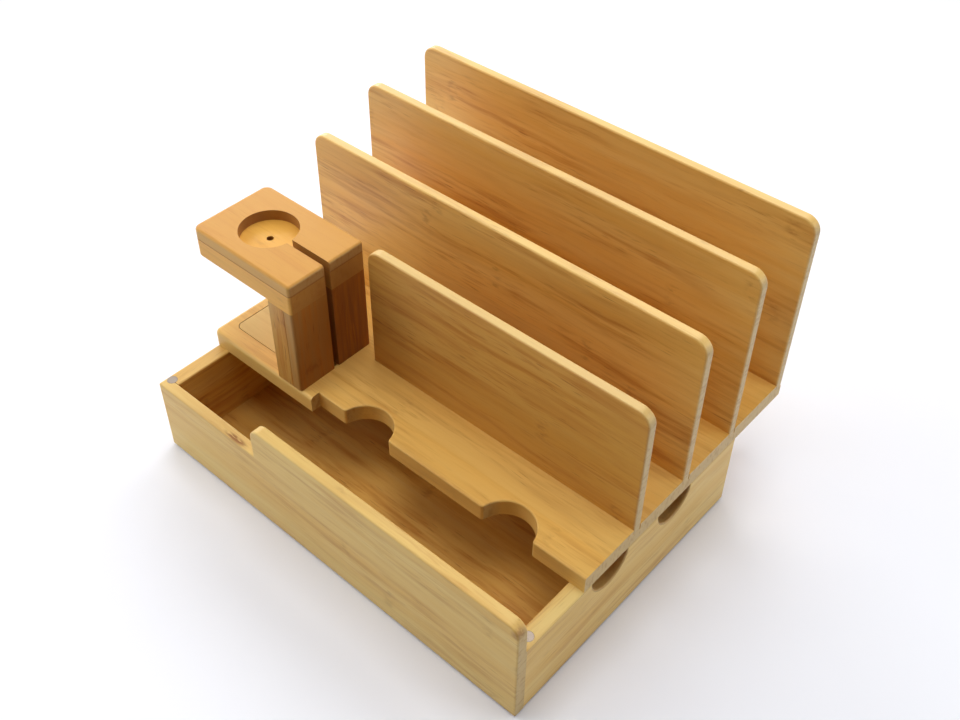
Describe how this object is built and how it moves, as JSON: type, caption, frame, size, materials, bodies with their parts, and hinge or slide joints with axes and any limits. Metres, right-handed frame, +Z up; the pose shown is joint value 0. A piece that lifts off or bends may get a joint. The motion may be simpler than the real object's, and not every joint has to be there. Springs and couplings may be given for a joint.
{
  "type": "charging station",
  "caption": "Open bamboo box with a front lip, a sliding deck that carries upright dividers for phones and tablets, and a raised stand for a round watch charger.",
  "frame": {"origin": "on the floor under the middle of the whole station as it stands with the deck drawn back", "axes": "+X to the right along the front panel, +Y to the back along the deck's travel, +Z up"},
  "size_m": [0.2302, 0.1946, 0.1482],
  "materials": {
    "bamboo": "satin lacquer",
    "dowel": "bare",
    "magnet": "nickel plated",
    "screw_steel": "zinc plated",
    "rubber": "matte"
  },
  "bodies": {
    "box": {"front_panel": "bamboo", "left_wall": "bamboo", "right_wall": "bamboo", "back_wall": "bamboo", "bottom_panel": "bamboo", "wall_magnets": "magnet", "rubber_feet": "rubber"},
    "deck_with_dividers": {"deck": "bamboo", "divider_1": "bamboo", "divider_2": "bamboo", "divider_3": "bamboo", "divider_4": "bamboo", "deck_magnets": "magnet"},
    "watch_stand": {"stand_top_layer": "bamboo", "stand_under_layer": "bamboo", "stand_post": "bamboo", "stand_front_cheek": "bamboo", "stand_back_cheek": "bamboo", "stand_foot_plate": "bamboo", "stand_screws": "screw_steel", "stand_dowels": "dowel"}
  },
  "joints": [
    {"name": "deck_slide", "type": "slide", "parent": "box", "child": "deck_with_dividers", "axis": [0, 1, 0], "range_m": [-0.036, 0]},
    {"name": "stand_lift", "type": "slide", "parent": "deck_with_dividers", "child": "watch_stand", "axis": [0, 0, 1], "range_m": [0, 0.03]}
  ]
}
